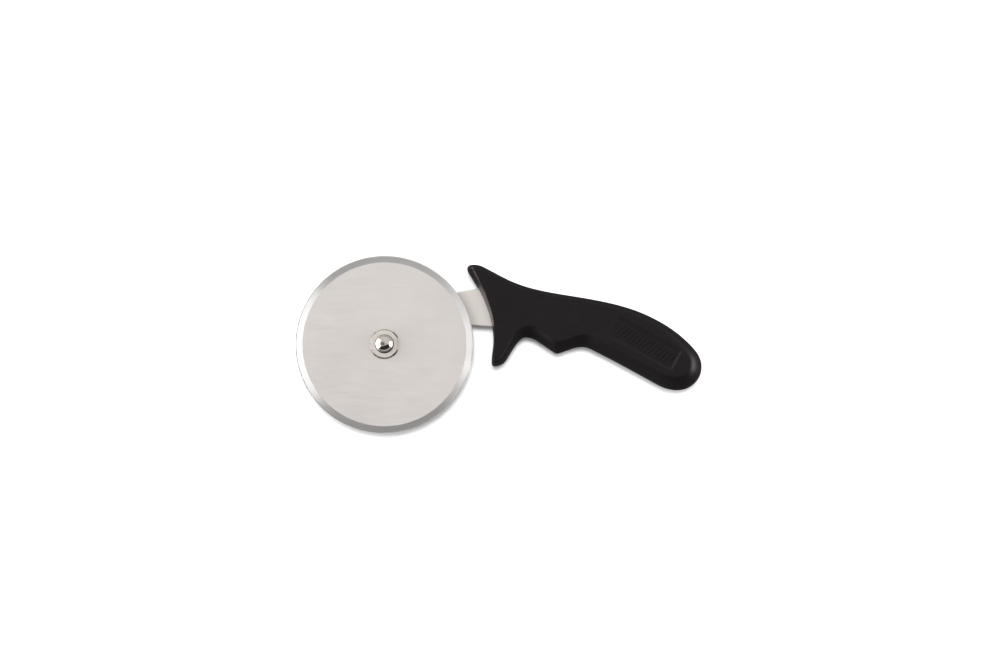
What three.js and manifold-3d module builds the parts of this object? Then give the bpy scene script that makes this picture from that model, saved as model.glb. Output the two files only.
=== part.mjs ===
// Pastry cutter wheel. A bevelled steel disc turns on a riveted hub at the end of a steel shank,
// and the shank's tang is moulded into a finger-guard handle.
//
// Millimetres, +Z up. The origin is on the wheel's axis, at the flat rear end of the axle rivet.
// +Z points out of the wheel's front, +X runs from the wheel to the handle, and +Y to its spine.

import * as THREE from 'three';
import { mergeVertices } from 'three/addons/utils/BufferGeometryUtils.js';
import Module from 'manifold-3d';

const wasm = await Module();
wasm.setup();

// ---------------------------------------------------------------- driving dimensions

const WHEEL_RADIUS = 50.8;
const BEVEL_WIDTH = 3.9;
const BLADE_THICKNESS = 1.0;
const EDGE_THICKNESS = 0.1;

const SHAFT_RADIUS = 3.0;
const SLEEVE_RADIUS = 4.5;
const FIT_GAP = 0.05;
const RUNNING_GAP = 0.08;

const DOME_RADIUS = 5.1;
const DOME_HEIGHT = 4.1;
const DOME_SKIRT = 0.35;
const TAIL_RADIUS = 4.6;
const TAIL_HEIGHT = 1.8;

const HUB_FLANGE_RADIUS = 8.6;
const HUB_FLANGE_HALF_FLAT = 7.85;
const HUB_FLANGE_THICKNESS = 1.4;
const SPIGOT_RADIUS = 6.4;
const SPIGOT_HALF_FLAT = 5.7;
const HUB_RING_RADIUS = 7.6;
const HUB_RING_THICKNESS = 0.8;

const WASHER_THICKNESS = 1.0;
const REAR_WASHER_RADIUS = 7.0;
const SPACER_RADIUS = 7.5;
const THRUST_WASHER_RADIUS = 7.0;
const THRUST_WASHER_THICKNESS = 0.4;

const SHANK_THICKNESS = 2.0;
const LOCKING_HOLE_RADIUS = 3.4;
const LOCKING_HOLES = [[92, 18.6], [118, 12.4], [139, 4.2]];
const MOULDING_GAP = 0.3;

const HANDLE_HALF_THICKNESS = 10.0;

const PANEL = { centre: [148.9, -0.3], angle: -29, length: 39.4, width: 12.2, corner: 1.2, depth: 0.4 };
const RIB = { count: 15, pitch: 2.4, length: 8.4, width: 1.0, height: 0.25, slant: 20 };

// Facets: a round piece of the hub, the wheel's rim, each span of an outline, and the handle's side.
const HUB_SEGMENTS = 48;
const RIM_SEGMENTS = 128;
const STEPS_PER_SPAN = 5;
const HANDLE_RINGS_PER_SIDE = 5;

// The stack along the axle, from the rivet's rear end to its dome.
const REAR_WASHER_Z = TAIL_HEIGHT;
const SHANK_Z = REAR_WASHER_Z + WASHER_THICKNESS;
const SPACER_Z = SHANK_Z + SHANK_THICKNESS;
const SLEEVE_Z = SPACER_Z + WASHER_THICKNESS;
const HUB_RING_Z = SLEEVE_Z + THRUST_WASHER_THICKNESS + RUNNING_GAP;
const BLADE_Z = HUB_RING_Z + HUB_RING_THICKNESS;
const HUB_FLANGE_Z = BLADE_Z + BLADE_THICKNESS;
const DOME_Z = HUB_FLANGE_Z + HUB_FLANGE_THICKNESS + RUNNING_GAP;
const HANDLE_MID_Z = SHANK_Z + SHANK_THICKNESS / 2;

// The handle's landmarks, clockwise seen from the front. Each gives x, y and heading in degrees,
// first on the parting line and then on the rim of the flat face, and the fullness of the side
// between them: 1 is a straight chamfer, 2 is an elliptical round.
const HANDLE_LANDMARKS = [
  { edge: [50.9, 46.0, 0], face: [52.3, 42.9, -4], fullness: 1.7 }, // top of the upper guard
  { edge: [55.5, 45.1, -25], face: [55.2, 42.1, -25], fullness: 2.0 },
  { edge: [73.5, 35.9, -23], face: [72.7, 33.1, -23], fullness: 2.2 }, // spine behind the guard
  { edge: [111.6, 27.1, -9.5], face: [111.0, 24.2, -9.5], fullness: 2.2 }, // middle of the spine
  { edge: [147.8, 17.9, -23], face: [146.1, 14.2, -23], fullness: 2.1 },
  { edge: [172.0, 2.7, -43], face: [168.0, -1.7, -43], fullness: 2.0 },
  { edge: [181.4, -12.5, -90], face: [174.0, -12.5, -92], fullness: 1.5 }, // end of the butt
  { edge: [167.3, -26.2, -180], face: [165.2, -19.0, -182], fullness: 1.6 },
  { edge: [156.2, -23.2, -209], face: [152.6, -14.6, -207], fullness: 1.4 }, // underside
  { edge: [121.6, -4.5, -207], face: [122.8, 1.3, -208], fullness: 1.4 },
  { edge: [113.1, -1.4, -180], face: [114.2, 5.2, -180], fullness: 1.4 }, // middle finger's hollow
  { edge: [99.7, -5.1, -163], face: [102.2, 1.5, -163], fullness: 1.4 }, // ridge between the fingers
  { edge: [97.0, -4.6, -211], face: [95.5, 2.3, -219], fullness: 1.4 },
  { edge: [88.1, 1.5, -214], face: [89.9, 7.0, -218], fullness: 1.4 },
  { edge: [81.0, 4.1, -180], face: [83.1, 10.2, -180], fullness: 1.4 }, // index finger's hollow
  { edge: [74.6, -0.8, -125], face: [74.2, 5.3, -128], fullness: 1.4 },
  { edge: [69.1, -9.6, -126], face: [67.1, -5.8, -124], fullness: 1.6 },
  { edge: [63.0, -12.5, -175], face: [63.9, -9.9, -168], fullness: 1.8 }, // tip of the lower guard
  { edge: [61.3, -11.2, -265], face: [62.3, -8.8, -264], fullness: 1.2 },
  { edge: [62.3, 2.5, -270], face: [63.0, 1.7, -270], fullness: 1.2 }, // front, below the shank
  { edge: [58.6, 20.7, -250], face: [60.6, 20.2, -251], fullness: 1.2 },
  { edge: [53.0, 33.0, -239], face: [55.9, 32.6, -240], fullness: 1.4 }, // front, above the shank
  { edge: [47.7, 41.6, -239], face: [51.7, 41.3, -241], fullness: 1.5 },
  { edge: [47.7, 45.1, -315], face: [50.9, 43.1, -315], fullness: 1.7 },
];

// The shank's outline, clockwise from the far side of its boss: the arm, the tang, and back.
const SHANK_LANDMARKS = [
  [-9.0, 0.0, 90],
  [-4.5, 7.8, 30],
  [44.0, 30.8, 8], // upper edge of the arm
  [60.0, 32.5, 0], // where it enters the handle
  [85.0, 26.6, -12],
  [120.0, 19.0, -15],
  [146.0, 7.4, -32],
  [152.5, 0.0, -90], // end of the tang
  [145.0, -4.6, -207],
  [120.0, 6.4, -198],
  [92.0, 11.6, -182],
  [62.0, 10.3, -180], // where the lower edge leaves the handle
  [50.6, 10.9, -184],
  [26.0, 4.2, -156], // lower edge of the arm
  [4.5, -7.8, -150],
  [-4.5, -7.8, -210],
];

// ---------------------------------------------------------------- materials

function steel(colour, roughness) {
  return new THREE.MeshStandardMaterial({ color: colour, roughness, metalness: 1.0 });
}

const groundSteel = steel(0xd6d0cc, 0.35);
const stampedSteel = steel(0xd1cbc5, 0.4);
const turnedSteel = steel(0xcac3bd, 0.25);
const polishedSteel = steel(0xe6e4e2, 0.05);
const bearingSteel = steel(0xb5b1ac, 0.3);
const acetal = new THREE.MeshStandardMaterial({ color: 0xe9e6df, roughness: 0.5, metalness: 0 });
const blackPlastic = new THREE.MeshStandardMaterial({ color: 0x262223, roughness: 0.42, metalness: 0 });

// ---------------------------------------------------------------- outlines

function direction(degrees) {
  const angle = THREE.MathUtils.degToRad(degrees);
  return new THREE.Vector2(Math.cos(angle), Math.sin(angle));
}

// A Bezier span between two landmarks. Where both lie on one circle, the span is that arc.
function span([x0, y0, heading0], [x1, y1, heading1]) {
  const start = new THREE.Vector2(x0, y0);
  const end = new THREE.Vector2(x1, y1);
  const turn = direction(heading0).angleTo(direction(heading1));
  const reach = start.distanceTo(end) / (3 * Math.cos(turn / 4) ** 2);
  const lead = direction(heading0).multiplyScalar(reach).add(start);
  const trail = direction(heading1).multiplyScalar(-reach).add(end);
  return new THREE.CubicBezierCurve(start, lead, trail, end);
}

function smoothOutline(landmarks) {
  const points = [];
  landmarks.forEach((landmark, index) => {
    const curve = span(landmark, landmarks[(index + 1) % landmarks.length]);
    points.push(...curve.getPoints(STEPS_PER_SPAN).slice(0, -1));
  });
  return points;
}

// Moves every point of a clockwise outline outwards, square to its neighbours' chord.
function grow(points, distance) {
  return points.map((point, index) => {
    const before = points.at(index - 1);
    const after = points[(index + 1) % points.length];
    const along = after.clone().sub(before).normalize();
    return new THREE.Vector2(point.x - along.y * distance, point.y + along.x * distance);
  });
}

function circle(radius, x = 0, y = 0) {
  const points = [];
  for (let i = 0; i < HUB_SEGMENTS; i++) {
    const angle = (i / HUB_SEGMENTS) * 2 * Math.PI;
    points.push(new THREE.Vector2(x + radius * Math.cos(angle), y + radius * Math.sin(angle)));
  }
  return points;
}

// A circle with two flats, square to X.
function doubleD(radius, halfFlat) {
  const flatAngle = Math.acos(halfFlat / radius);
  const steps = HUB_SEGMENTS / 2;
  const points = [];
  for (const side of [0, Math.PI]) {
    for (let i = 0; i <= steps; i++) {
      const angle = side + flatAngle + (i / steps) * (Math.PI - 2 * flatAngle);
      points.push(new THREE.Vector2(radius * Math.cos(angle), radius * Math.sin(angle)));
    }
  }
  return points;
}

function roundedRectangle(length, width, corner) {
  const x = length / 2 - corner;
  const y = width / 2 - corner;
  const shape = new THREE.Shape();
  shape.absarc(x, y, corner, 0, Math.PI / 2);
  shape.absarc(-x, y, corner, Math.PI / 2, Math.PI);
  shape.absarc(-x, -y, corner, Math.PI, 1.5 * Math.PI);
  shape.absarc(x, -y, corner, 1.5 * Math.PI, 2 * Math.PI);
  return shape;
}

// ---------------------------------------------------------------- solids

// Only position is kept, and triangles that a pole or a seam has flattened are left out.
function toSolid(geometry) {
  const bare = geometry.clone();
  bare.deleteAttribute('normal');
  bare.deleteAttribute('uv');
  const welded = mergeVertices(bare, 1e-5);
  const index = welded.index.array;
  const kept = [];
  for (let i = 0; i < index.length; i += 3) {
    const [a, b, c] = index.slice(i, i + 3);
    if (a !== b && b !== c && c !== a) {
      kept.push(a, b, c);
    }
  }
  return new wasm.Manifold(new wasm.Mesh({
    numProp: 3,
    vertProperties: new Float32Array(welded.attributes.position.array),
    triVerts: new Uint32Array(kept),
  }));
}

function toGeometry(solid) {
  const mesh = solid.getMesh();
  const geometry = new THREE.BufferGeometry();
  geometry.setAttribute('position', new THREE.BufferAttribute(mesh.vertProperties, 3));
  geometry.setIndex(new THREE.BufferAttribute(mesh.triVerts, 1));
  geometry.computeVertexNormals();
  return geometry;
}

// A flat piece with square edges, from one outline and any holes, standing on the height z.
function plate(outline, holes, z, thickness) {
  const shape = outline instanceof THREE.Shape ? outline : new THREE.Shape(outline);
  shape.holes = holes.map((hole) => new THREE.Path(hole));
  const geometry = new THREE.ExtrudeGeometry(shape, { depth: thickness, bevelEnabled: false });
  geometry.translate(0, 0, z);
  return geometry;
}

// A turned piece: a profile of radius and height pairs, from the axis up and back to the axis.
function turned(profile, segments) {
  const points = profile.map(([radius, height]) => new THREE.Vector2(radius, height));
  const geometry = new THREE.LatheGeometry(points, segments);
  geometry.rotateX(Math.PI / 2);
  return geometry;
}

function washer(radius, bore, z, thickness) {
  return plate(circle(radius), [circle(bore)], z, thickness);
}

// ---------------------------------------------------------------- wheel

function blade() {
  const bevelDrop = (BLADE_THICKNESS - EDGE_THICKNESS) / 2;
  const top = BLADE_Z + BLADE_THICKNESS;
  const disc = turned([
    [0, BLADE_Z],
    [WHEEL_RADIUS - BEVEL_WIDTH, BLADE_Z],
    [WHEEL_RADIUS, BLADE_Z + bevelDrop],
    [WHEEL_RADIUS, top - bevelDrop],
    [WHEEL_RADIUS - BEVEL_WIDTH, top],
    [0, top],
  ], RIM_SEGMENTS);
  const hole = plate(doubleD(SPIGOT_RADIUS, SPIGOT_HALF_FLAT), [], BLADE_Z - 1, BLADE_THICKNESS + 2);
  return toGeometry(toSolid(disc).subtract(toSolid(hole)));
}

// The flange and the spigot are one piece. Their flats keep the blade from slipping round.
function hubBush() {
  const bore = circle(SLEEVE_RADIUS + FIT_GAP);
  const flangeOutline = doubleD(HUB_FLANGE_RADIUS, HUB_FLANGE_HALF_FLAT);
  const flange = plate(flangeOutline, [bore], HUB_FLANGE_Z, HUB_FLANGE_THICKNESS);
  const spigotOutline = doubleD(SPIGOT_RADIUS, SPIGOT_HALF_FLAT);
  const spigot = plate(spigotOutline, [bore], HUB_RING_Z, HUB_FLANGE_Z - HUB_RING_Z);
  return toGeometry(toSolid(flange).add(toSolid(spigot)));
}

function hubRing() {
  const hole = doubleD(SPIGOT_RADIUS, SPIGOT_HALF_FLAT);
  return plate(circle(HUB_RING_RADIUS), [hole], HUB_RING_Z, HUB_RING_THICKNESS);
}

// ---------------------------------------------------------------- axle

function axleRivet() {
  const profile = [
    [0, 0],
    [TAIL_RADIUS - 0.5, 0],
    [TAIL_RADIUS, 0.5],
    [TAIL_RADIUS, TAIL_HEIGHT - 0.4],
    [TAIL_RADIUS - 0.4, TAIL_HEIGHT],
    [SHAFT_RADIUS, TAIL_HEIGHT],
    [SHAFT_RADIUS, DOME_Z],
    [DOME_RADIUS, DOME_Z],
  ];
  const arcSteps = 8;
  for (let i = 0; i <= arcSteps; i++) {
    const angle = (i / arcSteps) * Math.PI / 2;
    const height = DOME_Z + DOME_SKIRT + (DOME_HEIGHT - DOME_SKIRT) * Math.sin(angle);
    profile.push([i === arcSteps ? 0 : DOME_RADIUS * Math.cos(angle), height]);
  }
  return turned(profile, HUB_SEGMENTS);
}

function axleSleeve() {
  return washer(SLEEVE_RADIUS, SHAFT_RADIUS + FIT_GAP, SLEEVE_Z, DOME_Z - SLEEVE_Z);
}

// ---------------------------------------------------------------- shank

function shank() {
  const axleHole = circle(SHAFT_RADIUS + FIT_GAP);
  const lockingHoles = LOCKING_HOLES.map(([x, y]) => circle(LOCKING_HOLE_RADIUS, x, y));
  return plate(smoothOutline(SHANK_LANDMARKS), [axleHole, ...lockingHoles], SHANK_Z, SHANK_THICKNESS);
}

// The room that the handle leaves round the tang. Its posts stand in the tang's locking holes.
function tangPocket() {
  const outline = grow(smoothOutline(SHANK_LANDMARKS), MOULDING_GAP);
  const posts = LOCKING_HOLES.map(([x, y]) => circle(LOCKING_HOLE_RADIUS - MOULDING_GAP, x, y));
  return plate(outline, posts, SHANK_Z - MOULDING_GAP, SHANK_THICKNESS + 2 * MOULDING_GAP);
}

// ---------------------------------------------------------------- handle

// The handle's sides are rings of points that climb from the parting line to each flat face.
function handleBody() {
  const edge = smoothOutline(HANDLE_LANDMARKS.map((landmark) => landmark.edge));
  const face = smoothOutline(HANDLE_LANDMARKS.map((landmark) => landmark.face));
  const fullness = edge.map((_, index) => {
    const here = HANDLE_LANDMARKS[Math.floor(index / STEPS_PER_SPAN)];
    const next = HANDLE_LANDMARKS[(Math.floor(index / STEPS_PER_SPAN) + 1) % HANDLE_LANDMARKS.length];
    return THREE.MathUtils.lerp(here.fullness, next.fullness, (index % STEPS_PER_SPAN) / STEPS_PER_SPAN);
  });

  const positions = [];
  for (let ring = -HANDLE_RINGS_PER_SIDE; ring <= HANDLE_RINGS_PER_SIDE; ring++) {
    const angle = (Math.abs(ring) / HANDLE_RINGS_PER_SIDE) * Math.PI / 2;
    edge.forEach((point, index) => {
      const power = 2 / fullness[index];
      const inset = 1 - Math.max(Math.cos(angle), 0) ** power;
      const rise = Math.sign(ring) * HANDLE_HALF_THICKNESS * Math.sin(angle) ** power;
      const place = point.clone().lerp(face[index], inset);
      positions.push(place.x, place.y, HANDLE_MID_Z + rise);
    });
  }

  const count = edge.length;
  const triangles = [];
  for (let ring = 0; ring < 2 * HANDLE_RINGS_PER_SIDE; ring++) {
    for (let i = 0; i < count; i++) {
      const low = ring * count + i;
      const lowNext = ring * count + (i + 1) % count;
      triangles.push(low, low + count, lowNext);
      triangles.push(lowNext, low + count, lowNext + count);
    }
  }
  const topRing = 2 * HANDLE_RINGS_PER_SIDE * count;
  for (const [a, b, c] of THREE.ShapeUtils.triangulateShape(face, [])) {
    triangles.push(topRing + a, topRing + b, topRing + c);
    triangles.push(c, b, a);
  }

  const geometry = new THREE.BufferGeometry();
  geometry.setAttribute('position', new THREE.Float32BufferAttribute(positions, 3));
  geometry.setIndex(triangles);
  return geometry;
}

function placeOnPanel(geometry) {
  geometry.rotateZ(THREE.MathUtils.degToRad(PANEL.angle));
  geometry.translate(PANEL.centre[0], PANEL.centre[1], HANDLE_MID_Z + HANDLE_HALF_THICKNESS);
  return toSolid(geometry);
}

function panelRecess() {
  const outline = roundedRectangle(PANEL.length, PANEL.width, PANEL.corner);
  return placeOnPanel(plate(outline, [], -PANEL.depth, PANEL.depth + 1));
}

// The ribs reach slightly below the recess's floor, so that each joins the handle.
function panelRibs() {
  const ribs = [];
  for (let i = 0; i < RIB.count; i++) {
    const rib = new THREE.BoxGeometry(RIB.width, RIB.length, 2 * RIB.height);
    rib.rotateZ(THREE.MathUtils.degToRad(-RIB.slant));
    rib.translate((i - (RIB.count - 1) / 2) * RIB.pitch, 0, -PANEL.depth);
    ribs.push(placeOnPanel(rib));
  }
  return ribs;
}

function handle() {
  let solid = toSolid(handleBody()).subtract(panelRecess());
  for (const rib of panelRibs()) {
    solid = solid.add(rib);
  }
  return toGeometry(solid.subtract(toSolid(tangPocket())));
}

// ---------------------------------------------------------------- assembly

function piece(name, geometry, material) {
  const mesh = new THREE.Mesh(geometry, material);
  mesh.name = name;
  return mesh;
}

const bore = SHAFT_RADIUS + FIT_GAP;

const grip = new THREE.Group();
grip.add(
  piece('handle', handle(), blackPlastic),
  piece('shank', shank(), stampedSteel),
  piece('axle_rivet', axleRivet(), polishedSteel),
  piece('axle_sleeve', axleSleeve(), bearingSteel),
  piece('rear_washer', washer(REAR_WASHER_RADIUS, bore, REAR_WASHER_Z, WASHER_THICKNESS), turnedSteel),
  piece('spacer_washer', washer(SPACER_RADIUS, bore, SPACER_Z, WASHER_THICKNESS), turnedSteel),
  piece(
    'thrust_washer',
    washer(THRUST_WASHER_RADIUS, SLEEVE_RADIUS + FIT_GAP, SLEEVE_Z, THRUST_WASHER_THICKNESS),
    acetal,
  ),
);

const wheel = new THREE.Group();
wheel.add(
  piece('blade', blade(), groundSteel),
  piece('hub_bush', hubBush(), turnedSteel),
  piece('hub_ring', hubRing(), turnedSteel),
);

const cutter = new THREE.Group();
cutter.add(grip, wheel);

export default cutter;
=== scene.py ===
# Pastry cutter wheel: a bevelled steel disc on a riveted hub, a stamped shank, and a moulded handle.
# Lengths in this script are millimetres until a mesh is made, and every mesh is in metres.
import math

import bmesh
import bpy
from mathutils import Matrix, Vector
from mathutils.geometry import interpolate_bezier


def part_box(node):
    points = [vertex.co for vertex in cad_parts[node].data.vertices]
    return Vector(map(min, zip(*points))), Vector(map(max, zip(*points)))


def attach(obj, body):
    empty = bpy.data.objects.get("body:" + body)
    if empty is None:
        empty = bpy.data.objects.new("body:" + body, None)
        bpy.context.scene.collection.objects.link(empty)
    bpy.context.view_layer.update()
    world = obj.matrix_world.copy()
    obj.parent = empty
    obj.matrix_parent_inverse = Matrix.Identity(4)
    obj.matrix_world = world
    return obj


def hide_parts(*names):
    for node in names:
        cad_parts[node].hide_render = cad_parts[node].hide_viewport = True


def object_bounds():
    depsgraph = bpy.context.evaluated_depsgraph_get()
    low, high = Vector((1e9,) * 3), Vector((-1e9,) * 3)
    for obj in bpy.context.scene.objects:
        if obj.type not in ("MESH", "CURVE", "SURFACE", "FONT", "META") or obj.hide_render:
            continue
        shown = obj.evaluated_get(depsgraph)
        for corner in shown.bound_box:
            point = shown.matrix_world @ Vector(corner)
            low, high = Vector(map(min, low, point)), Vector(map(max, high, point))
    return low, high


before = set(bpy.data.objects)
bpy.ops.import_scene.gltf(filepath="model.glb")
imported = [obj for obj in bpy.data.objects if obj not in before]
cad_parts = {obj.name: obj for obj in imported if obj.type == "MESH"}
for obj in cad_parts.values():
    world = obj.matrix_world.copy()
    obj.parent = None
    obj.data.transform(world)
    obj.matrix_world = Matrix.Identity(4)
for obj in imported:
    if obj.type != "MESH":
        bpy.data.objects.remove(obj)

CAD_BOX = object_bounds()
MM = 0.001

# ---------------------------------------------------------------- sizes

BEVEL_WIDTH = 3.9
EDGE_THICKNESS = 0.1
MICRO_EDGE_WIDTH = 0.45
MICRO_EDGE_RISE = 0.07  # from half the edge to half the thickness where the honing starts
BEVEL_BLEND = 0.12  # the soft corner between the flat and the bevel
RIM_SEGMENTS = 360
HUB_SEGMENTS = 96

HUB_FLANGE_HALF_FLAT = 7.85
HUB_FLANGE_RADIUS = 8.6
HUB_EDGE_RADIUS = 0.05
HUB_DRAFT = 0.8
SPIGOT_RADIUS = 6.4
SPIGOT_HALF_FLAT = 5.7
SHAFT_RADIUS = 3.0
SLEEVE_RADIUS = 4.5
FIT_GAP = 0.05
DOME_SKIRT = 0.35
DOME_STEPS = 20
# The rivet's formed tail, from its dished centre out to its widest: radius and height.
RIVET_TAIL = [
    (0, 0.12), (1.6, 0.12), (2.3, 0.04), (3.4, 0.0), (4.0, 0.03), (4.35, 0.2), (4.55, 0.5), (4.6, 0.95)
]
SPIGOT_EDGE_RADIUS = 0.1
HUB_RING_EDGE_RADIUS = 0.15
SLEEVE_EDGE = 0.12
WASHER_EDGE = 0.2
THRUST_WASHER_EDGE = 0.08

SHANK_EDGE_RADIUS = 0.6
LOCKING_HOLE_RADIUS = 3.4
LOCKING_HOLES = [(92, 18.6), (118, 12.4), (139, 4.2)]
MOULDING_GAP = 0.1

PANEL_CENTRE = (148.9, -0.3)
PANEL_ANGLE = math.radians(-29)
PANEL_SIZE = (39.4, 12.2)
PANEL_CORNER = 1.2
PANEL_DEPTH = 0.4
PANEL_EDGE_WIDTH = 1.9
PANEL_WALL_STEPS = 10
RIB_COUNT = 15
RIB_PITCH = 2.4
RIB_SIZE = (1.0, 8.4)
RIB_HEIGHT = 0.25
RIB_SLANT = math.radians(-20)

STEPS_PER_SPAN = 18
HANDLE_RINGS_PER_SIDE = 18

# The stage. A window in the sky has slopes low and high across it, then low and high up it.
FLOOR_SEEN = (0.33, 0.33, 0.33)
FLOOR_GLOW = 0.17
FLOOR_REFLECTED = (0.08, 0.08, 0.08)
FLOOR_HALF_SIZE = 8.0  # metres
SKY_LEVEL = 0.865
SKY_RISE = 0.34
RISE_HEADING = 68
RISE_FULL_AT = 0.3
SOFTBOX_LEVEL = 8.2
SOFTBOX_EDGE = 0.08
LEFT_SOFTBOX = (-0.65, 0.91, 0.02, 0.97)
RIGHT_SOFTBOX = (-0.36, 0.37, 0.02, 0.66)
FRONT_FLAG = (-2.8, 1.8, 0.38, 3.05)
FLAG_HEADING = -70
FLAG_SHADE = 0.88
FLAG_EDGE = 0.10
CAMERA_SPOT = (-0.25, 0.02, 0.968)
SPOT_SHADE = 0.60
SPOT_INNER, SPOT_OUTER = 0.22, 0.40
OVERHEAD_LEVEL = 8.8
OVERHEAD_SPREAD = math.radians(18)
OVERHEAD_TILT = math.radians(-9)
CONTRAST_POINTS = [(0.035, 0.016), (0.12, 0.10), (0.5, 0.52)]

LENS = 90.0
VIEW_WIDTH = 571.4
VIEW_CENTRE = (66.0, 6.1)
CAMERA_TILT = math.radians(4.8)

# The handle's landmarks, clockwise seen from the front: x, y and heading in degrees on the parting
# line, the same on the rim of the flat face, and the fullness of the side between them, where 1 is
# a straight chamfer and 2 is an elliptical round.
HANDLE_LANDMARKS = [
    ((50.9, 46.0, 0), (52.3, 42.9, -4), 1.7),  # top of the upper guard
    ((55.5, 45.1, -25), (55.2, 42.1, -25), 2.0),
    ((73.5, 35.9, -23), (72.7, 33.1, -23), 2.2),  # spine behind the guard
    ((111.6, 27.1, -9.5), (111.0, 24.2, -9.5), 2.2),  # middle of the spine
    ((147.8, 17.9, -23), (146.1, 14.2, -23), 2.1),
    ((172.0, 2.7, -43), (168.0, -1.7, -43), 2.0),
    ((181.4, -12.5, -90), (174.0, -12.5, -92), 1.5),  # end of the butt
    ((167.3, -26.2, -180), (165.2, -19.0, -182), 1.6),
    ((156.2, -23.2, -209), (152.6, -14.6, -207), 1.4),  # underside
    ((121.6, -4.5, -207), (122.8, 1.3, -208), 1.4),
    ((113.1, -1.4, -180), (114.2, 5.2, -180), 1.4),  # middle finger's hollow
    ((99.7, -5.1, -163), (102.2, 1.5, -163), 1.4),  # ridge between the fingers
    ((97.0, -4.6, -211), (95.5, 2.3, -219), 1.4),
    ((88.1, 1.5, -214), (89.9, 7.0, -218), 1.4),
    ((81.0, 4.1, -180), (83.1, 10.2, -180), 1.4),  # index finger's hollow
    ((74.6, -0.8, -125), (74.2, 5.3, -128), 1.4),
    ((69.1, -9.6, -126), (67.1, -5.8, -124), 1.6),
    ((63.0, -12.5, -175), (63.9, -9.9, -168), 1.8),  # tip of the lower guard
    ((61.3, -11.2, -265), (62.3, -8.8, -264), 1.2),
    ((62.3, 2.5, -270), (63.0, 1.7, -270), 1.2),  # front, below the shank
    ((58.6, 20.7, -250), (60.6, 20.2, -251), 1.2),
    ((53.0, 33.0, -239), (55.9, 32.6, -240), 1.4),  # front, above the shank
    ((47.7, 41.6, -239), (51.7, 41.3, -241), 1.5),
    ((47.7, 45.1, -315), (50.9, 43.1, -315), 1.7),
]

# The shank's outline, clockwise from the far side of its boss: the arm, the tang, and back.
SHANK_LANDMARKS = [
    (-9.0, 0.0, 90),
    (-4.5, 7.8, 30),
    (44.0, 30.8, 8),  # upper edge of the arm
    (60.0, 32.5, 0),  # where it enters the handle
    (85.0, 26.6, -12),
    (120.0, 19.0, -15),
    (146.0, 7.4, -32),
    (152.5, 0.0, -90),  # end of the tang
    (145.0, -4.6, -207),
    (120.0, 6.4, -198),
    (92.0, 11.6, -182),
    (62.0, 10.3, -180),  # where the lower edge leaves the handle
    (50.6, 10.9, -184),
    (26.0, 4.2, -156),  # lower edge of the arm
    (4.5, -7.8, -150),
    (-4.5, -7.8, -210),
]


def node_box(node):
    """A node's corners, low and high, in millimetres."""
    low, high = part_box(node)
    return low / MM, high / MM


def node_heights(node):
    low, high = node_box(node)
    return low.z, high.z


# ---------------------------------------------------------------- outlines


def direction(degrees):
    return Vector((math.cos(math.radians(degrees)), math.sin(math.radians(degrees))))


def smooth_outline(landmarks):
    """Joins landmarks of x, y and heading by Bezier spans. Landmarks on one circle give its arc."""
    points = []
    for here, after in zip(landmarks, landmarks[1:] + landmarks[:1]):
        start, end = Vector(here[:2]), Vector(after[:2])
        leave, arrive = direction(here[2]), direction(after[2])
        reach = (end - start).length / (3 * math.cos(leave.angle(arrive) / 4) ** 2)
        span = interpolate_bezier(start, start + leave * reach, end - arrive * reach, end, STEPS_PER_SPAN + 1)
        points += [point.to_2d() for point in span[:-1]]
    return points


def circle(radius, x=0.0, y=0.0, count=HUB_SEGMENTS):
    angles = [2 * math.pi * i / count for i in range(count)]
    return [Vector((x + radius * math.cos(a), y + radius * math.sin(a))) for a in angles]


def double_d(radius, half_flat):
    """A circle with two flats, square to X."""
    flat = math.acos(half_flat / radius)
    steps = HUB_SEGMENTS // 2
    points = []
    for side in (0.0, math.pi):
        for i in range(steps + 1):
            angle = side + flat + (math.pi - 2 * flat) * i / steps
            points.append(Vector((radius * math.cos(angle), radius * math.sin(angle))))
    return points


def rounded_bar(length, width, corner, steps=6):
    """A rectangle with round corners, anticlockwise."""
    x, y = length / 2 - corner, width / 2 - corner
    points = []
    for turn, (cx, cy) in enumerate([(x, y), (-x, y), (-x, -y), (x, -y)]):
        for i in range(steps + 1):
            angle = (turn + i / steps) * math.pi / 2
            points.append(Vector((cx + corner * math.cos(angle), cy + corner * math.sin(angle))))
    return points


def area(points):
    return sum(a.x * b.y - b.x * a.y for a, b in zip(points, points[1:] + points[:1])) / 2


def grown(points, distance):
    """The outline moved outwards by a distance, whichever way round it runs."""
    side = 1 if area(points) > 0 else -1
    moved = []
    for before, here, after in zip(points[-1:] + points[:-1], points, points[1:] + points[:1]):
        ahead = (after - before).normalized()
        moved.append(here + Vector((ahead.y, -ahead.x)) * distance * side)
    return moved


def turned(point, angle):
    """A point's x and y after a turn round the origin."""
    x = point.x * math.cos(angle) - point.y * math.sin(angle)
    y = point.x * math.sin(angle) + point.y * math.cos(angle)
    return x, y


# ---------------------------------------------------------------- meshes


def add_ring(bm, points, z):
    heights = z if isinstance(z, list) else [z] * len(points)
    return [bm.verts.new((p.x * MM, p.y * MM, height * MM)) for p, height in zip(points, heights)]


def join_rings(bm, lower, upper):
    for a, b, c, d in zip(lower, lower[1:] + lower[:1], upper[1:] + upper[:1], upper):
        bm.faces.new((a, b, c, d))


def fill_between(bm, *rings):
    """Fills a flat face that its outer ring bounds, less any inner rings."""
    edges = []
    for ring in rings:
        for a, b in zip(ring, ring[1:] + ring[:1]):
            edges.append(bm.edges.get((a, b)))
    bmesh.ops.triangle_fill(bm, edges=edges, use_beauty=True)


def to_object(bm, name):
    bmesh.ops.recalc_face_normals(bm, faces=bm.faces)
    mesh = bpy.data.meshes.new(name)
    bm.to_mesh(mesh)
    bm.free()
    mesh.shade_smooth()
    obj = bpy.data.objects.new(name, mesh)
    bpy.context.scene.collection.objects.link(obj)
    return obj


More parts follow.
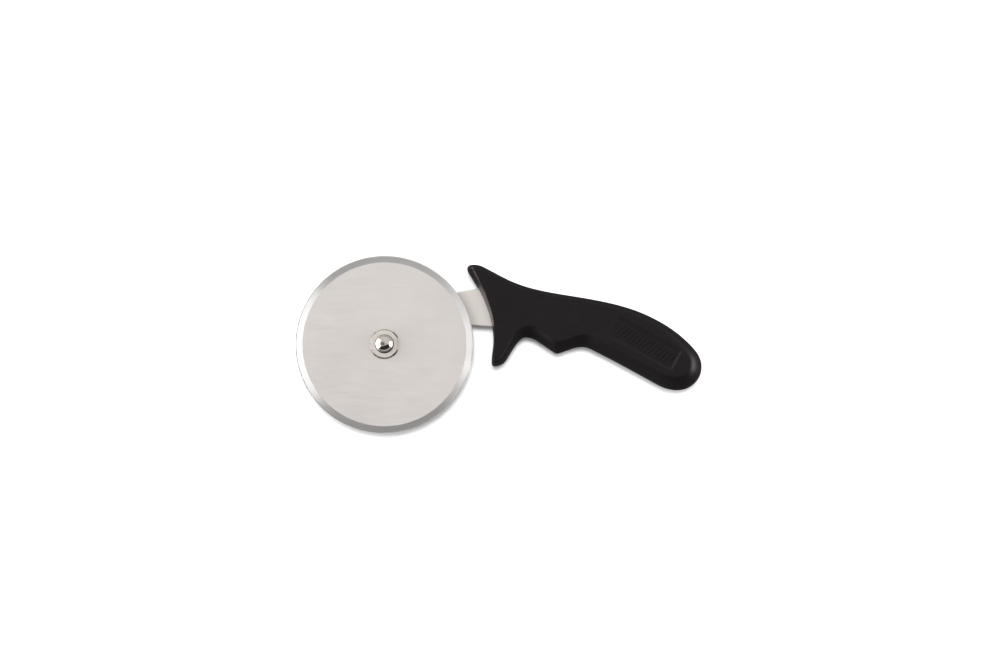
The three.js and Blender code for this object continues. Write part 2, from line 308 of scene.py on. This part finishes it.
def apply_modifiers(obj):
    evaluated = obj.evaluated_get(bpy.context.evaluated_depsgraph_get())
    finished = bpy.data.meshes.new_from_object(evaluated)
    obj.modifiers.clear()
    obj.data = finished


def smooth_shading(obj, sharp_degrees=40):
    """Smooth shading that keeps large faces flat and leaves real corners crisp."""
    obj.data.set_sharp_from_angle(angle=math.radians(sharp_degrees))
    weighted = obj.modifiers.new("weighted", "WEIGHTED_NORMAL")
    weighted.keep_sharp = True
    weighted.weight = 100
    apply_modifiers(obj)
    return obj


def combine(obj, tool, operation):
    cut = obj.modifiers.new("combine", "BOOLEAN")
    cut.object = tool
    cut.operation = operation
    cut.solver = "EXACT"
    apply_modifiers(obj)
    bpy.data.objects.remove(tool)


def rounded_plate(name, outlines, low, high, radius, steps=6, draft=0.0):
    """A flat piece with rounded edges, and drafted walls if its top is to be narrower.

    The first outline is its outside, and the rest are holes.
    """
    profile = []
    for i in range(steps + 1):
        angle = math.pi / 2 * i / steps
        profile.append((radius * (1 - math.sin(angle)), low + radius * (1 - math.cos(angle))))
    profile += [(inset + draft, low + high - z) for inset, z in reversed(profile)]

    bm = bmesh.new()
    bottoms, tops = [], []
    for index, outline in enumerate(outlines):
        into = -1 if index == 0 else 1
        rings = [add_ring(bm, grown(outline, into * inset), z) for inset, z in profile]
        for lower, upper in zip(rings, rings[1:]):
            join_rings(bm, lower, upper)
        bottoms.append(rings[0])
        tops.append(rings[-1])
    fill_between(bm, *bottoms)
    fill_between(bm, *tops)
    return to_object(bm, name)


def lathe(name, profile, segments):
    """Turns a profile of radius and height pairs round Z. It may start and end on the axis."""
    bm = bmesh.new()
    rings = []
    for radius, z in profile:
        if radius == 0:
            rings.append(bm.verts.new((0, 0, z * MM)))
        else:
            rings.append(add_ring(bm, circle(radius, count=segments), z))
    closed = isinstance(rings[0], list)
    pairs = list(zip(rings, rings[1:])) + ([(rings[-1], rings[0])] if closed else [])
    for lower, upper in pairs:
        if isinstance(lower, list) and isinstance(upper, list):
            join_rings(bm, lower, upper)
            continue
        pole, ring = (upper, lower) if isinstance(lower, list) else (lower, upper)
        for a, b in zip(ring, ring[1:] + ring[:1]):
            bm.faces.new((pole, a, b))
    return to_object(bm, name)


def round_corner(corner, before, after, radius, steps=4):
    """The points of a small arc that rounds a profile's corner."""
    corner, before, after = Vector(corner), Vector(before), Vector(after)
    start = corner + (before - corner).normalized() * radius
    end = corner + (after - corner).normalized() * radius
    points = []
    for i in range(steps + 1):
        t = i / steps
        points.append(tuple(start * (1 - t) ** 2 + corner * 2 * t * (1 - t) + end * t * t))
    return points


def rounded_profile(corners, radii):
    """A closed profile whose corners are rounded."""
    points = []
    for i, corner in enumerate(corners):
        points += round_corner(corner, corners[i - 1], corners[(i + 1) % len(corners)], radii[i])
    return points


# ---------------------------------------------------------------- materials


def new_material(name, colour, roughness, metallic=0.0, **sockets):
    material = bpy.data.materials.new(name)
    material.use_nodes = True
    shader = material.node_tree.nodes["Principled BSDF"]
    shader.inputs["Base Color"].default_value = (*colour, 1)
    shader.inputs["Roughness"].default_value = roughness
    shader.inputs["Metallic"].default_value = metallic
    for socket, value in sockets.items():
        shader.inputs[socket.replace("_", " ")].default_value = value
    return material, material.node_tree, shader


def add_node(tree, kind, inputs=None, **settings):
    node = tree.nodes.new(kind)
    for key, value in settings.items():
        setattr(node, key, value)
    for key, value in (inputs or {}).items():
        if isinstance(value, bpy.types.NodeSocket):
            tree.links.new(value, node.inputs[key])
        else:
            node.inputs[key].default_value = value
    return node


def maths(tree, operation, a, b=0.0, clamp=False):
    return add_node(tree, "ShaderNodeMath", {0: a, 1: b}, operation=operation, use_clamp=clamp).outputs[0]


def object_coords(tree, stretch=(1, 1, 1), turn=0.0):
    coords = add_node(tree, "ShaderNodeTexCoord").outputs["Object"]
    mapping = {"Vector": coords, "Scale": stretch, "Rotation": (0, 0, turn)}
    return add_node(tree, "ShaderNodeMapping", mapping).outputs["Vector"]


def noise(tree, scale, vector, detail=3.0, roughness=0.55):
    inputs = {"Scale": scale, "Vector": vector, "Detail": detail, "Roughness": roughness}
    return add_node(tree, "ShaderNodeTexNoise", inputs).outputs["Fac"]


def spread(tree, value, low, high, from_low=0.3, from_high=0.7):
    """A value's usual range, mapped to low and high."""
    inputs = {"Value": value, "From Min": from_low, "From Max": from_high, "To Min": low, "To Max": high}
    return add_node(tree, "ShaderNodeMapRange", inputs).outputs["Result"]


def mix_colour(tree, factor, first, second):
    node = add_node(tree, "ShaderNodeMix", data_type="RGBA")
    for key, value in ((0, factor), (6, first), (7, second)):
        if isinstance(value, bpy.types.NodeSocket):
            tree.links.new(value, node.inputs[key])
        else:
            node.inputs[key].default_value = value if key == 0 else (*value, 1)
    return node.outputs[2]


def set_colour(tree, shader, factor, first, second):
    mixed = mix_colour(tree, factor, first, second)
    tree.links.new(mixed, shader.inputs["Base Color"])


def scaled(colour, share):
    return tuple(share * channel for channel in colour)


def set_bump(tree, shader, height, strength, distance):
    inputs = {"Height": height, "Strength": strength, "Distance": distance}
    bump = add_node(tree, "ShaderNodeBump", inputs)
    tree.links.new(bump.outputs["Normal"], shader.inputs["Normal"])


def radius_coords(tree):
    """Distance from the wheel's axis, in metres, and height, as a vector for turned marks."""
    coords = add_node(tree, "ShaderNodeTexCoord").outputs["Object"]
    flat = add_node(tree, "ShaderNodeVectorMath", {0: coords, 1: (1, 1, 0)}, operation="MULTIPLY").outputs[0]
    radius = add_node(tree, "ShaderNodeVectorMath", {0: flat}, operation="LENGTH").outputs["Value"]
    height = add_node(tree, "ShaderNodeSeparateXYZ", {0: coords}).outputs["Z"]
    return add_node(tree, "ShaderNodeCombineXYZ", {"X": radius, "Y": height}).outputs[0]


STEEL = (0.713, 0.668, 0.638)
STEEL_DARK = (0.58, 0.55, 0.52)
BEVEL_STEEL = (0.565, 0.556, 0.55)
SHANK_STEEL = (0.79, 0.745, 0.697)
HUB_STEEL = (0.83, 0.78, 0.715)
# Painted shade: darker copies of the hub's steel for the flange's wall, and deeper painted shade for its two
# flat sides.
HUB_WALL_PAINTED_SHADE = (0.44, 0.41, 0.38)
HUB_SIDE_PAINTED_SHADE = (0.14, 0.13, 0.12)
DOME_STEEL = (0.46, 0.435, 0.41)
ACETAL = (0.80, 0.78, 0.72)
ACETAL_WORN = (0.62, 0.60, 0.55)
FINE_RELIEF = 0.00001  # metres


def satin_steel(name, roughness, grain_turn, colour=STEEL):
    """Stainless sheet with a fine straight grain, faint clouding and a few hairlines."""
    material, tree, shader = new_material(name, colour, roughness, 1.0)
    grain = object_coords(tree, (60, 3500, 3500), grain_turn)
    fine = noise(tree, 1.0, grain, 4.0, 0.7)
    cloud = noise(tree, 45, object_coords(tree), 3.0)
    hair = noise(tree, 1.0, object_coords(tree, (25, 1400, 1400), grain_turn + 0.35), 2.0)
    hairlines = spread(tree, hair, 0.0, 1.0, 0.70, 0.78)
    tone = maths(tree, "MULTIPLY", spread(tree, cloud, 0.0, 0.35), spread(tree, fine, 0.4, 1.0))
    set_colour(tree, shader, tone, colour, scaled(colour, 0.87))
    rough = spread(tree, fine, roughness - 0.05, roughness + 0.05)
    rough = maths(tree, "ADD", rough, spread(tree, cloud, -0.02, 0.02))
    rough = maths(tree, "SUBTRACT", rough, maths(tree, "MULTIPLY", hairlines, 0.06))
    tree.links.new(rough, shader.inputs["Roughness"])
    height = maths(tree, "SUBTRACT", fine, maths(tree, "MULTIPLY", hairlines, 0.5))
    set_bump(tree, shader, height, 0.12, FINE_RELIEF)
    return material


def ground_bevel_steel():
    """The bevel's grind runs round the wheel, so its highlight spreads across the bevel."""
    material, tree, shader = new_material(
        "bevel_ground_steel", BEVEL_STEEL, 0.42, 1.0, Anisotropic=0.95, Anisotropic_Rotation=0.25
    )
    tangent = add_node(tree, "ShaderNodeTangent", direction_type="RADIAL", axis="Z")
    tree.links.new(tangent.outputs[0], shader.inputs["Tangent"])
    lines = noise(tree, 9000, radius_coords(tree), 3.0, 0.7)
    cloud = noise(tree, 60, object_coords(tree), 2.0)
    set_colour(tree, shader, spread(tree, lines, 0.0, 0.4), BEVEL_STEEL, STEEL_DARK)
    rough = maths(tree, "ADD", spread(tree, lines, 0.38, 0.46), spread(tree, cloud, -0.02, 0.02))
    tree.links.new(rough, shader.inputs["Roughness"])
    set_bump(tree, shader, lines, 0.10, FINE_RELIEF)
    return material


def turned_steel(name, roughness, colour=STEEL):
    """Lathe-turned steel with fine concentric marks."""
    material, tree, shader = new_material(name, colour, roughness, 1.0)
    lines = noise(tree, 7000, radius_coords(tree), 3.0, 0.65)
    cloud = noise(tree, 300, object_coords(tree), 3.0)
    set_colour(tree, shader, spread(tree, lines, 0.0, 0.6), colour, scaled(colour, 0.85))
    rough = spread(tree, lines, roughness - 0.05, roughness + 0.06)
    rough = maths(tree, "ADD", rough, spread(tree, cloud, -0.02, 0.03))
    tree.links.new(rough, shader.inputs["Roughness"])
    set_bump(tree, shader, lines, 0.2, FINE_RELIEF)
    return material


def polished_steel():
    """A mirror with the faint haze and wipe marks of use."""
    material, tree, shader = new_material("polished_steel", DOME_STEEL, 0.05, 1.0)
    haze = noise(tree, 500, object_coords(tree), 4.0, 0.6)
    wipes = noise(tree, 1.0, object_coords(tree, (400, 5000, 5000), 0.6), 2.0)
    rough = maths(tree, "ADD", spread(tree, haze, 0.03, 0.08), spread(tree, wipes, 0.0, 0.04, 0.6, 0.75))
    tree.links.new(rough, shader.inputs["Roughness"])
    set_colour(tree, shader, spread(tree, haze, 0.0, 0.5), DOME_STEEL, scaled(DOME_STEEL, 0.85))
    set_bump(tree, shader, haze, 0.03, FINE_RELIEF)
    return material


def white_acetal():
    """Natural white acetal with turned marks and a slight yellowing."""
    material, tree, shader = new_material("acetal", ACETAL, 0.45, Specular_IOR_Level=0.5)
    lines = noise(tree, 3000, radius_coords(tree), 2.0)
    mottle = noise(tree, 400, object_coords(tree), 3.0)
    set_colour(tree, shader, spread(tree, mottle, 0.0, 0.5), ACETAL, ACETAL_WORN)
    tree.links.new(spread(tree, lines, 0.38, 0.52), shader.inputs["Roughness"])
    set_bump(tree, shader, lines, 0.2, 0.00002)
    return material


PLASTIC = (0.0102, 0.0078, 0.0084)
PLASTIC_WORN = (0.030, 0.027, 0.028)


def black_plastic():
    """Moulded polypropylene: a fine satin texture, faint flow waves, and scuffs from handling."""
    material, tree, shader = new_material("black_plastic", PLASTIC, 0.45, IOR=1.49, Specular_IOR_Level=0.3)
    coords = object_coords(tree)
    grain = noise(tree, 2600, coords, 2.0, 0.6)
    pores = noise(tree, 900, coords, 3.0, 0.6)
    flow = noise(tree, 30, coords, 2.0)
    patches = noise(tree, 70, coords, 4.0, 0.65)
    scratch_a = noise(tree, 1.0, object_coords(tree, (70, 1500, 1500), 0.5), 2.0)
    scratch_b = noise(tree, 1.0, object_coords(tree, (90, 1900, 1900), -0.9), 2.0)
    scratches = maths(
        tree, "MAXIMUM",
        spread(tree, scratch_a, 0.0, 1.0, 0.69, 0.76),
        spread(tree, scratch_b, 0.0, 1.0, 0.71, 0.78),
    )
    worn = maths(tree, "MULTIPLY", scratches, spread(tree, patches, 0.0, 1.0, 0.45, 0.65))
    dust = maths(tree, "MULTIPLY", spread(tree, pores, 0.0, 0.25, 0.5, 0.75), spread(tree, patches, 0.2, 1.0))
    mark = maths(tree, "ADD", maths(tree, "MULTIPLY", worn, 0.5), dust, True)
    set_colour(tree, shader, mark, PLASTIC, PLASTIC_WORN)
    rough = maths(tree, "ADD", spread(tree, grain, 0.41, 0.49), spread(tree, patches, -0.03, 0.03))
    rough = maths(tree, "ADD", rough, maths(tree, "MULTIPLY", worn, 0.12))
    tree.links.new(rough, shader.inputs["Roughness"])
    height = maths(tree, "ADD", maths(tree, "MULTIPLY", grain, 0.5), maths(tree, "MULTIPLY", pores, 0.6))
    height = maths(tree, "ADD", height, maths(tree, "MULTIPLY", flow, 3.0))
    height = maths(tree, "SUBTRACT", height, maths(tree, "MULTIPLY", worn, 0.8))
    set_bump(tree, shader, height, 0.35, 0.00003)
    return material


# ---------------------------------------------------------------- wheel


def place(obj, body, node, slot, *materials):
    """Rides a finished piece on its body, in place of its CAD node."""
    for material in materials:
        obj.data.materials.append(material)
    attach(obj, body)
    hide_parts(node)
    return obj


def make_blade():
    """The disc has a long bevel on each side, and a narrow honed edge outside it."""
    low, high = node_box("blade")
    radius = high.x
    middle = (low.z + high.z) / 2
    half = (high.z - low.z) / 2
    half_edge = EDGE_THICKNESS / 2
    honed_start = radius - MICRO_EDGE_WIDTH
    honed_half = half_edge + MICRO_EDGE_RISE
    bevel_start = radius - BEVEL_WIDTH
    side = [
        (SPIGOT_RADIUS + FIT_GAP, half),
        (bevel_start - BEVEL_BLEND, half),
        (bevel_start, half - 0.006),
        (bevel_start + BEVEL_BLEND, half - 0.02),
        (honed_start - 0.05, honed_half + 0.006),
        (honed_start, honed_half),
        (radius - 0.04, half_edge + 0.01),
        (radius, half_edge * 0.5),
    ]
    lower = [(r, middle - h) for r, h in side]
    upper = [(r, middle + h) for r, h in reversed(side)]
    blade = lathe("blade_disc", lower + upper, RIM_SEGMENTS)
    blade.data.materials.append(satin_steel("blade_satin_steel", 0.42, 0.0))
    blade.data.materials.append(ground_bevel_steel())
    blade.data.materials.append(turned_steel("honed_edge_steel", 0.22, STEEL_DARK))
    for polygon in blade.data.polygons:
        reach = polygon.center.to_2d().length
        if reach > honed_start * MM:
            polygon.material_index = 2
        elif reach > bevel_start * MM:
            polygon.material_index = 1
    smooth_shading(blade, 25)
    return place(blade, "wheel", "blade", "ground_steel")


def make_hub(steel):
    """The bush's flange has drafted walls. Its spigot passes through the blade to the hub ring.

    The wall round the flange has painted shade, darker than its face, and its two flat sides have deeper
    painted shade again.
    """
    low, high = node_box("hub_bush")
    blade_top = node_heights("blade")[1]
    bore = circle(SLEEVE_RADIUS + FIT_GAP)
    outline = double_d(HUB_FLANGE_RADIUS, HUB_FLANGE_HALF_FLAT)
    hub = rounded_plate("hub_flange", [outline, bore], blade_top, high.z, HUB_EDGE_RADIUS, draft=HUB_DRAFT)
    # Painted shade: wall faces take a darker copy of the steel, and the flat sides a darker one still.
    for polygon in hub.data.polygons:
        on_wall = abs(polygon.normal.z) < 0.9
        on_side = abs(polygon.normal.x) > 0.5
        if on_wall:
            polygon.material_index = 2 if on_side else 1
    smooth_shading(hub, 60)
    # Shaded copies of the turned steel, which paint shade on the wall and the flat sides.
    wall = turned_steel("hub_wall_painted_shade", 0.24, HUB_WALL_PAINTED_SHADE)
    side = turned_steel("hub_side_painted_shade", 0.3, HUB_SIDE_PAINTED_SHADE)
    place(hub, "wheel", "hub_bush", "turned_steel", steel, wall, side)

    spigot_outline = double_d(SPIGOT_RADIUS, SPIGOT_HALF_FLAT)
    spigot = rounded_plate("hub_spigot", [spigot_outline, bore], low.z, blade_top, SPIGOT_EDGE_RADIUS, 3)
    smooth_shading(spigot, 60)
    place(spigot, "wheel", "hub_bush", "turned_steel", steel)

    ring_low, ring_high = node_box("hub_ring")
    ring_outlines = [circle(ring_high.x), grown(spigot_outline, FIT_GAP)]
    ring = rounded_plate(
        "hub_backing_ring", ring_outlines, ring_low.z, ring_high.z, HUB_RING_EDGE_RADIUS, 4
    )
    smooth_shading(ring, 60)
    place(ring, "wheel", "hub_ring", "turned_steel", steel)


# ---------------------------------------------------------------- axle


def make_rivet():
    """A domed head, the shaft, and a formed tail with a dished end."""
    high = node_box("axle_rivet")[1]
    dome_radius = high.x
    dome_base = node_heights("axle_sleeve")[1]
    tail_top = node_heights("rear_washer")[0]
    profile = RIVET_TAIL + [(4.5, tail_top - 0.2), (4.25, tail_top)]
    profile += [(SHAFT_RADIUS, tail_top), (SHAFT_RADIUS, dome_base), (dome_radius - 0.12, dome_base)]
    profile += [(dome_radius, dome_base + 0.1)]
    rise = high.z - dome_base - DOME_SKIRT
    for i in range(DOME_STEPS):
        angle = math.pi / 2 * i / DOME_STEPS
        profile.append((dome_radius * math.cos(angle), dome_base + DOME_SKIRT + rise * math.sin(angle)))
    profile.append((0, high.z))
    rivet = lathe("rivet_dome_and_tail", profile, HUB_SEGMENTS)
    smooth_shading(rivet, 50)
    return place(rivet, "grip", "axle_rivet", "polished_steel", polished_steel())


def make_ring_piece(name, node, slot, bore, edge, material):
    low, high = node_box(node)
    corners = [(bore, low.z), (high.x, low.z), (high.x, high.z), (bore, high.z)]
    piece = lathe(name, rounded_profile(corners, [edge] * 4), HUB_SEGMENTS)
    smooth_shading(piece, 60)
    return place(piece, "grip", node, slot, material)


def make_axle_rings(steel):
    bearing = turned_steel("bearing_steel", 0.22, STEEL_DARK)
    shaft_bore = SHAFT_RADIUS + FIT_GAP
    make_ring_piece("sleeve", "axle_sleeve", "bearing_steel", shaft_bore, SLEEVE_EDGE, bearing)
    make_ring_piece("washer_rear", "rear_washer", "turned_steel", shaft_bore, WASHER_EDGE, steel)
    make_ring_piece("washer_spacer", "spacer_washer", "turned_steel", shaft_bore, WASHER_EDGE, steel)
    sleeve_bore = SLEEVE_RADIUS + FIT_GAP
    make_ring_piece(
        "washer_thrust", "thrust_washer", "acetal", sleeve_bore, THRUST_WASHER_EDGE, white_acetal()
    )


# ---------------------------------------------------------------- shank


def make_shank():
    low, high = node_heights("shank")
    holes = [circle(SHAFT_RADIUS + FIT_GAP)]
    holes += [circle(LOCKING_HOLE_RADIUS, x, y) for x, y in LOCKING_HOLES]
    outline = smooth_outline(SHANK_LANDMARKS)
    shank = rounded_plate("shank_plate", [outline] + holes, low, high, SHANK_EDGE_RADIUS, 8)
    smooth_shading(shank, 60)
    steel = satin_steel("shank_satin_steel", 0.45, math.radians(-8), SHANK_STEEL)
    return place(shank, "grip", "shank", "stamped_steel", steel)


# ---------------------------------------------------------------- handle


def handle_rings():
    """Rings that climb from the back's flat face, over the parting line, to the front's flat face."""
    edge = smooth_outline([landmark[0] for landmark in HANDLE_LANDMARKS])
    face = smooth_outline([landmark[1] for landmark in HANDLE_LANDMARKS])
    count = len(HANDLE_LANDMARKS)
    power = []
    for i in range(len(edge)):
        here, part = divmod(i, STEPS_PER_SPAN)
        part /= STEPS_PER_SPAN
        first, second = HANDLE_LANDMARKS[here][2], HANDLE_LANDMARKS[(here + 1) % count][2]
        power.append(2 / (first + (second - first) * part))

    low, high = node_heights("handle")
    middle, half = (low + high) / 2, (high - low) / 2
    rings = []
    for step in range(-HANDLE_RINGS_PER_SIDE, HANDLE_RINGS_PER_SIDE + 1):
        share = abs(step) / HANDLE_RINGS_PER_SIDE
        angle = share * math.pi / 2
        side = math.copysign(1, step) if step else 0
        points, heights = [], []
        for i, (outer, inner) in enumerate(zip(edge, face)):
            inset = 1 - max(math.cos(angle), 0) ** power[i]
            rise = half * math.sin(angle) ** power[i]
            points.append(outer.lerp(inner, inset))
            heights.append(middle + side * rise)
        rings.append((points, heights))
    return rings


def on_panel(points):
    """Points round the origin, moved and turned to the recess on the handle."""
    moved = []
    for point in points:
        x, y = turned(point, PANEL_ANGLE)
        moved.append(Vector((PANEL_CENTRE[0] + x, PANEL_CENTRE[1] + y)))
    return moved


def panel_rings(bm, top):
    """The recess from its rim down: its wall is a soft wave that runs into the face and the floor."""
    outline = on_panel(rounded_bar(*PANEL_SIZE, PANEL_CORNER))
    rings = []
    for i in range(PANEL_WALL_STEPS + 1):
        growth = PANEL_EDGE_WIDTH * (0.5 - i / PANEL_WALL_STEPS)
        depth = PANEL_DEPTH * (1 - math.cos(math.pi * i / PANEL_WALL_STEPS)) / 2
        rings.append(add_ring(bm, grown(outline, growth), top - depth))
    return rings


def make_handle(plastic):
    bm = bmesh.new()
    rings = [add_ring(bm, points, heights) for points, heights in handle_rings()]
    for lower, upper in zip(rings, rings[1:]):
        join_rings(bm, lower, upper)
    fill_between(bm, rings[0])
    recess = panel_rings(bm, node_heights("handle")[1])
    for lower, upper in zip(recess, recess[1:]):
        join_rings(bm, lower, upper)
    fill_between(bm, rings[-1], recess[0])
    fill_between(bm, recess[-1])
    handle = to_object(bm, "handle_moulding")

    floor = node_heights("handle")[1] - PANEL_DEPTH
    bar = rounded_bar(*RIB_SIZE, RIB_SIZE[0] / 2 - 0.01)
    for i in range(RIB_COUNT):
        shift = (i - (RIB_COUNT - 1) / 2) * RIB_PITCH
        slanted = []
        for point in bar:
            x, y = turned(point, RIB_SLANT)
            slanted.append(Vector((x + shift, y)))
        rib = rounded_plate(
            "rib", [on_panel(slanted)], floor - RIB_HEIGHT, floor + RIB_HEIGHT, RIB_HEIGHT * 0.9, 4
        )
        combine(handle, rib, "UNION")

    low, high = node_heights("shank")
    pocket_outlines = [grown(smooth_outline(SHANK_LANDMARKS), MOULDING_GAP)]
    pocket_outlines += [circle(LOCKING_HOLE_RADIUS - MOULDING_GAP, x, y) for x, y in LOCKING_HOLES]
    pocket = rounded_plate(
        "pocket", pocket_outlines, low - MOULDING_GAP, high + MOULDING_GAP, SHANK_EDGE_RADIUS, 8
    )
    combine(handle, pocket, "DIFFERENCE")
    smooth_shading(handle, 40)
    return place(handle, "grip", "handle", "black_plastic", plastic)


# ---------------------------------------------------------------- stage, light and camera


def make_floor():
    """A white table, staged: it is paler to the camera than in reflections."""
    size = FLOOR_HALF_SIZE
    z = CAD_BOX[0].z
    mesh = bpy.data.meshes.new("floor")
    corners = [(-size, -size, z), (size, -size, z), (size, size, z), (-size, size, z)]
    mesh.from_pydata(corners, [], [(0, 1, 2, 3)])
    floor = bpy.data.objects.new("floor", mesh)
    bpy.context.scene.collection.objects.link(floor)
    material, tree, shader = new_material("floor_white", FLOOR_SEEN, 0.7, Specular_IOR_Level=0.1)
    seen = add_node(tree, "ShaderNodeLightPath").outputs["Is Camera Ray"]
    tree.links.new(mix_colour(tree, seen, FLOOR_REFLECTED, FLOOR_SEEN), shader.inputs["Base Color"])
    shader.inputs["Emission Color"].default_value = (1, 1, 1, 1)
    tree.links.new(maths(tree, "MULTIPLY", seen, FLOOR_GLOW), shader.inputs["Emission Strength"])
    mesh.materials.append(material)
    return floor


def band(tree, value, low, high, soft):
    """1 where a value lies between low and high, falling smoothly to 0 outside."""
    rise = spread(tree, value, 0.0, 1.0, low - soft, low + soft)
    fall = spread(tree, value, 1.0, 0.0, high - soft, high + soft)
    return maths(tree, "MULTIPLY", rise, fall)


def window(tree, depth, across, up, limits, soft):
    """1 in a rectangle of the sky that faces along depth, between slopes across and slopes up."""
    depth = maths(tree, "MAXIMUM", depth, 0.001)
    low_across, high_across, low_up, high_up = limits
    sideways = band(tree, maths(tree, "DIVIDE", across, depth), low_across, high_across, soft)
    upright = band(tree, maths(tree, "DIVIDE", up, depth), low_up, high_up, soft)
    return maths(tree, "MULTIPLY", sideways, upright)


def along(tree, x, y, heading):
    """The part of a direction that lies along a heading, in degrees from X."""
    lean = direction(heading)
    return maths(tree, "ADD", maths(tree, "MULTIPLY", x, lean.x), maths(tree, "MULTIPLY", y, lean.y))


def make_light(floor):
    """A pale studio as a sky: a softbox on each side, a black flag in front, and a dark spot above.

    A lamp overhead lights the table alone, so it is white close up to each shadow.
    """
    world = bpy.data.worlds.new("studio")
    bpy.context.scene.world = world
    world.use_nodes = True
    tree = world.node_tree
    sky = add_node(tree, "ShaderNodeTexCoord").outputs["Generated"]
    axes = add_node(tree, "ShaderNodeSeparateXYZ", {0: sky}).outputs
    x, y, z = axes["X"], axes["Y"], axes["Z"]
    boxes = maths(
        tree, "MAXIMUM",
        window(tree, along(tree, x, y, 180), y, z, LEFT_SOFTBOX, SOFTBOX_EDGE),
        window(tree, x, y, z, RIGHT_SOFTBOX, SOFTBOX_EDGE),
    )
    flag_depth = along(tree, x, y, FLAG_HEADING)
    flag_across = along(tree, x, y, FLAG_HEADING + 90)
    flag = window(tree, flag_depth, flag_across, z, FRONT_FLAG, FLAG_EDGE)
    distance = add_node(tree, "ShaderNodeVectorMath", {0: sky, 1: CAMERA_SPOT}, operation="DISTANCE")
    spot = spread(tree, distance.outputs["Value"], 1.0, 0.0, SPOT_INNER, SPOT_OUTER)
    flag_shade = maths(tree, "MULTIPLY", flag, FLAG_SHADE)
    shade = maths(tree, "ADD", flag_shade, maths(tree, "MULTIPLY", spot, SPOT_SHADE))
    level = maths(tree, "MULTIPLY", maths(tree, "SUBTRACT", 1.0, shade, True), SKY_LEVEL)
    rise = spread(tree, along(tree, x, y, RISE_HEADING), 0.0, SKY_RISE, 0.0, RISE_FULL_AT)
    level = maths(tree, "MULTIPLY", level, maths(tree, "ADD", rise, 1.0))
    level = maths(tree, "ADD", level, maths(tree, "MULTIPLY", boxes, SOFTBOX_LEVEL))
    tree.links.new(level, tree.nodes["Background"].inputs["Color"])

    overhead = bpy.data.lights.new("overhead", "SUN")
    overhead.energy = OVERHEAD_LEVEL
    overhead.angle = OVERHEAD_SPREAD
    lamp = bpy.data.objects.new("overhead", overhead)
    lamp.rotation_euler = (OVERHEAD_TILT, 0, 0)
    lamp.visible_glossy = False
    bpy.context.scene.collection.objects.link(lamp)
    table_only = bpy.data.collections.new("table_only")
    table_only.objects.link(floor)
    lamp.light_linking.receiver_collection = table_only


def set_contrast():
    """The plain sRGB view, with a curve that deepens the darkest tones."""
    settings = bpy.context.scene.view_settings
    settings.view_transform = "Standard"
    settings.use_curve_mapping = True
    curve = settings.curve_mapping.curves[3]
    for point in CONTRAST_POINTS:
        curve.points.new(*point)
    settings.curve_mapping.update()


def make_camera():
    """Looks almost straight down, from a little towards the near side."""
    blade_low, blade_high = node_box("blade")
    target = Vector((*VIEW_CENTRE, (blade_low.z + blade_high.z) / 2)) * MM
    data = bpy.data.cameras.new("camera")
    data.lens = LENS
    camera = bpy.data.objects.new("camera", data)
    bpy.context.scene.collection.objects.link(camera)
    distance = VIEW_WIDTH * MM * LENS / data.sensor_width
    backwards = Vector((0, -math.sin(CAMERA_TILT), math.cos(CAMERA_TILT)))
    camera.location = target + backwards * distance
    camera.rotation_euler = (CAMERA_TILT, 0, 0)
    bpy.context.scene.camera = camera


# ---------------------------------------------------------------- scene

make_camera()
make_light(make_floor())
set_contrast()

hub_steel = turned_steel("turned_steel", 0.34, HUB_STEEL)
make_blade()
make_hub(hub_steel)
make_rivet()
make_axle_rings(hub_steel)
make_shank()
make_handle(black_plastic())
